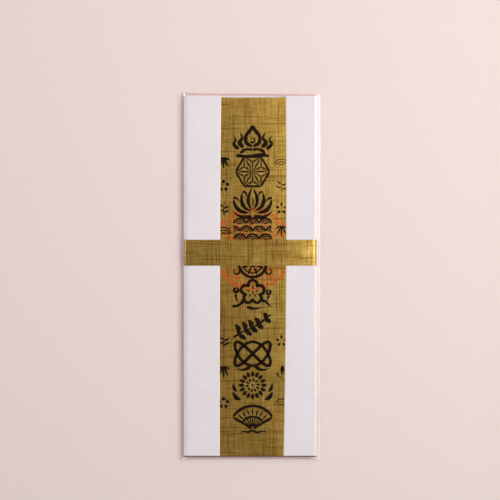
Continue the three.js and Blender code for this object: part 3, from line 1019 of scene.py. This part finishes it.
def bud():
    return [
        (through((0.05, 0.9), (0.12, 0.4), (0, -0.2)), 0.75, LEAF),
        (through((0, -0.1), (0.06, -0.5), (-0.2, -0.98)), 0.16, PULL),
        (through((-0.1, -0.7), (-0.5, -0.45), (-0.7, -0.05)), 0.26, LEAF),
    ]


def pressure(shares, along):
    """How wide a stroke is at a share of its length, eased between a few pressures."""
    place = along * (len(shares) - 1)
    first = min(int(place), len(shares) - 2)
    return shares[first] + (shares[first + 1] - shares[first]) * smooth(place - first)


def evenly(line, step):
    """The same line with its points a step apart."""
    kept = [line[0]]
    gone = 0.0
    for before, after in zip(line, line[1:]):
        length = (after - before).length
        while gone + length >= step:
            before = before.lerp(after, (step - gone) / length)
            length = (after - before).length
            kept.append(before)
            gone = 0.0
        gone += length
    kept[-1] = line[-1]
    return kept


def stroke_solid(line, width, press, low, high):
    """Points and faces of one stroke, between two levels, with rounded ends and slightly rough edges."""
    line = evenly(line, STROKE_STEP)
    last = len(line) - 1
    sides = ([], [])
    for i, point in enumerate(line):
        along = (line[min(i + 1, last)] - line[max(i - 1, 0)]).normalized()
        half = width / 2 * pressure(press, i / last)
        to_end = min(i, last - i) * STROKE_STEP
        half *= math.sqrt(max(1 - (1 - min(to_end / half, 1)) ** 2, 0))
        for side, edge in zip((-1, 1), sides):
            rough = noise.noise(Vector((point.x / ROUGH_PITCH, point.y / ROUGH_PITCH, ROUGH_SEED * side)))
            reach = max(half * (1 + EDGE_ROUGHNESS * rough), THINNEST)
            edge.append(point + side * reach * Vector((-along.y, along.x)))
    grids = [[[Vector((p.x, p.y, level)) for p in edge] for edge in sides] for level in (high, low)]
    return closed_sheet(*grids)


def painted(strokes, weight, centre, size, proud):
    """The solids of a motif's strokes, with its cell's half size and its middle on the gold sheet."""
    solids = []
    for i, (line, width, press) in enumerate(strokes):
        placed = [Vector(centre) + size * p for p in line]
        high = facing_high.z + proud + i % LIFTED_STROKES * STROKE_LIFT
        solids.append(stroke_solid(placed, size * width * weight, press, facing_high.z, high))
    return solids


# Down the middle of the window, and down both of its sides, partly under the flaps
COLUMN_X = 1.2 * MM
COLUMN_TOP = 91.8 * MM
COLUMN_PITCH = 20.8 * MM
COLUMN = (  # from the top, each motif with the weight of its strokes
    (jewel, 1.3),
    (hemp_leaf, 1.0),
    (lotus, 1.2),
    (waves, 1.0),
    (wheel, 1.1),
    (plum, 1.3),
    (leafy_branch, 1.25),
    (knot, 1.35),
    (chrysanthemum, 1.2),
    (open_fan, 1.2),
)

LEFT_SIDE_X = -18.6 * MM
RIGHT_SIDE_X = 20.8 * MM
SIDE_HEIGHTS = (77, 61.5, 46, 30.5, -44, -65, -86)  # in millimetres
LEFT_MOTIFS = (five_leaves, blossom, sprig, small_wave, sprig, five_leaves, blossom)
RIGHT_MOTIFS = (small_wave, sprig, blossom, five_leaves, blossom, bud, small_wave)
LEFT_SIDE_WEIGHT = 1.15
RIGHT_SIDE_WEIGHT = 0.8


def ink_column():
    solids = []
    for i, (motif, weight) in enumerate(COLUMN):
        solids += painted(motif(), weight, (COLUMN_X, COLUMN_TOP - i * COLUMN_PITCH), MOTIF_HALF, INK_PROUD)
    return make_piece("brush_motifs", *joined(solids), "ink")


def side_motifs():
    solids = []
    for x, weight, motifs in (
        (LEFT_SIDE_X, LEFT_SIDE_WEIGHT, LEFT_MOTIFS),
        (RIGHT_SIDE_X, RIGHT_SIDE_WEIGHT, RIGHT_MOTIFS),
    ):
        for motif, y in zip(motifs, SIDE_HEIGHTS):
            solids += painted(motif(), weight, (x, y * MM), SIDE_MOTIF_HALF, INK_PROUD)
    return make_piece("side_motifs", *joined(solids), "ink")


# Seal: rings, with petals and small curls between them

SEAL_PETALS = 12
SEAL_WEIGHT = 0.85


def roundel():
    strokes = [
        (ring((0, 0), 0.985), 0.045, EVEN),
        (ring((0, 0), 0.925), 0.028, EVEN),
        (ring((0, 0), 0.3), 0.028, EVEN),
        (ring((0, 0), 0.1), 0.05, EVEN),
    ]
    step = 360 / SEAL_PETALS
    for i in range(SEAL_PETALS):
        degrees = step * (i + 0.5)
        out = heading(degrees)
        aside = Vector((-out.y, out.x))
        petal = [0.32 * out, 0.52 * out + 0.15 * aside, 0.76 * out + 0.17 * aside, 0.88 * out]
        mirrored = [p - 2 * p.dot(aside) * aside for p in petal]
        strokes.append((through(*petal), 0.028, EVEN))
        strokes.append((through(*mirrored), 0.028, EVEN))
        strokes.append((curl(0.68 * out, 0.09, 0.025, degrees + 180, 420), 0.026, TAIL))
        strokes.append((spoke((0, 0), 0.4, 0.54, degrees), 0.03, LEAF))
        strokes.append((curl(0.86 * heading(step * i), 0.05, 0.05, step * i + 90, 180), 0.026, EVEN))
    for degrees in range(0, 360, 60):
        strokes.append((curl(0.2 * heading(degrees), 0.055, 0.055, degrees - 110, 220), 0.028, EVEN))
    return strokes


def stamped_roundel():
    solids = painted(roundel(), SEAL_WEIGHT, SEAL_CENTRE, SEAL_RADIUS, SEAL_PROUD)
    return make_piece("red_roundel", *joined(solids), "seal")


ink = ink_column()
side_ink = side_motifs()
seal = stamped_roundel()

# What each piece rides on, and its slot; the nodes that the wrapper, band and sleeve stand in for are hidden
# below
for piece, body, slot in (
    (wrapper, "wrapper", "wrapper_paper"),
    (band, "band", "gold_band_sheet"),
    (sleeve, "sleeve", "clear_film"),
    (ink, "board", "gold_sheet"),
    (side_ink, "board", "gold_sheet"),
    (seal, "board", "gold_sheet"),
):
    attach(piece, body)
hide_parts("paper_wrapper")
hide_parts("gold_band")
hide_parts("clear_sleeve")

for node_name, material in (
    ("gold_facing", "gold_sheet"),
    ("core_board", "board_wood"),
    ("back_liner", "liner_paper"),
    ("prayer_slip", "slip_paper"),
    ("band_adhesive", "dried_glue"),
):
    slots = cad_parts[node_name].data.materials
    slots.clear()
    slots.append(MATERIALS[material])


# Surface, light and camera

def floor_surface(tree):
    place = object_place(tree)
    grain = clouds(tree, place, 900.0, detail=3.0)
    colour = mixed(tree, ramp(tree, grain, 0.3, 0.7), darker(FLOOR, 0.985), FLOOR)
    return plain_shader(tree, base_color=colour, roughness=0.75)


FLOOR_HALF = 3.0
FLOOR_GAP = 0.02 * MM  # keeps the film's underside and the floor from lying in one plane
floor_mesh = bpy.data.meshes.new("floor")
corners = [(x * FLOOR_HALF, y * FLOOR_HALF, 0) for x, y in ((-1, -1), (1, -1), (1, 1), (-1, 1))]
floor_mesh.from_pydata(corners, [], [(0, 1, 2, 3)])
floor_mesh.materials.append(surface("floor", floor_surface))
floor = bpy.data.objects.new("floor", floor_mesh)
floor.location.z = -FLOOR_GAP
bpy.context.scene.collection.objects.link(floor)


def aimed_light(name, direction, distance, size, power, colour=(1, 1, 1)):
    """A soft light in a direction given as its compass angle from +X and its height, in degrees."""
    turn, height = (math.radians(a) for a in direction)
    away = Vector((math.cos(turn) * math.cos(height), math.sin(turn) * math.cos(height), math.sin(height)))
    lamp = bpy.data.lights.new(name, "AREA")
    lamp.shape = "RECTANGLE"
    lamp.size, lamp.size_y = size
    lamp.energy = power
    lamp.color = colour
    made = bpy.data.objects.new(name, lamp)
    made.location = away * distance
    made.rotation_euler = (-away).to_track_quat("-Z", "Y").to_euler()
    bpy.context.scene.collection.objects.link(made)


COOL = (0.93, 1.0, 1.02)
aimed_light("key_light", direction=(10, 50), distance=5.0, size=(2.0, 3.2), power=93)
aimed_light("side_light", direction=(10, 38), distance=1.3, size=(0.5, 0.3), power=2.2, colour=COOL)
aimed_light("fill_light", direction=(175, 40), distance=1.4, size=(0.8, 0.5), power=3.7)
aimed_light("top_light", direction=(27, 58), distance=0.9, size=(0.26, 0.26), power=2.95, colour=COOL)
aimed_light("end_light", direction=(100, 48), distance=0.75, size=(0.4, 0.2), power=0.42)

ROOM_SIDES = 0.5  # the strength of the room's light from the sides and from overhead
ROOM_OVERHEAD = 0.08
HORIZON_EXTRA = 0.42  # and how much stronger it is right at the horizon, where the floor ends

world = bpy.data.worlds.new("room")
world.use_nodes = True
world_tree = world.node_tree
world_tree.nodes.clear()
upward = node(world_tree, "SeparateXYZ", {0: node(world_tree, "TexCoord").outputs["Generated"]}).outputs["Z"]
level = ramp(world_tree, upward, 0.3, 0.95, ROOM_SIDES, ROOM_OVERHEAD)
level = calc(world_tree, "ADD", level, ramp(world_tree, upward, 0.0, 0.1, HORIZON_EXTRA, 0.0))
room = node(world_tree, "Background", {"Color": ROOM, "Strength": level}).outputs[0]
node(world_tree, "OutputWorld", {"Surface": room})
bpy.context.scene.world = world

camera_data = bpy.data.cameras.new("camera")
camera_data.sensor_width = SENSOR_WIDTH
camera_data.lens = SENSOR_WIDTH * CAMERA_HEIGHT / VIEW_WIDTH
camera = bpy.data.objects.new("camera", camera_data)
camera.location = (*VIEW_CENTRE, paper_high.z + CAMERA_HEIGHT)
bpy.context.scene.collection.objects.link(camera)
bpy.context.scene.camera = camera

bpy.context.scene.view_settings.view_transform = "Standard"
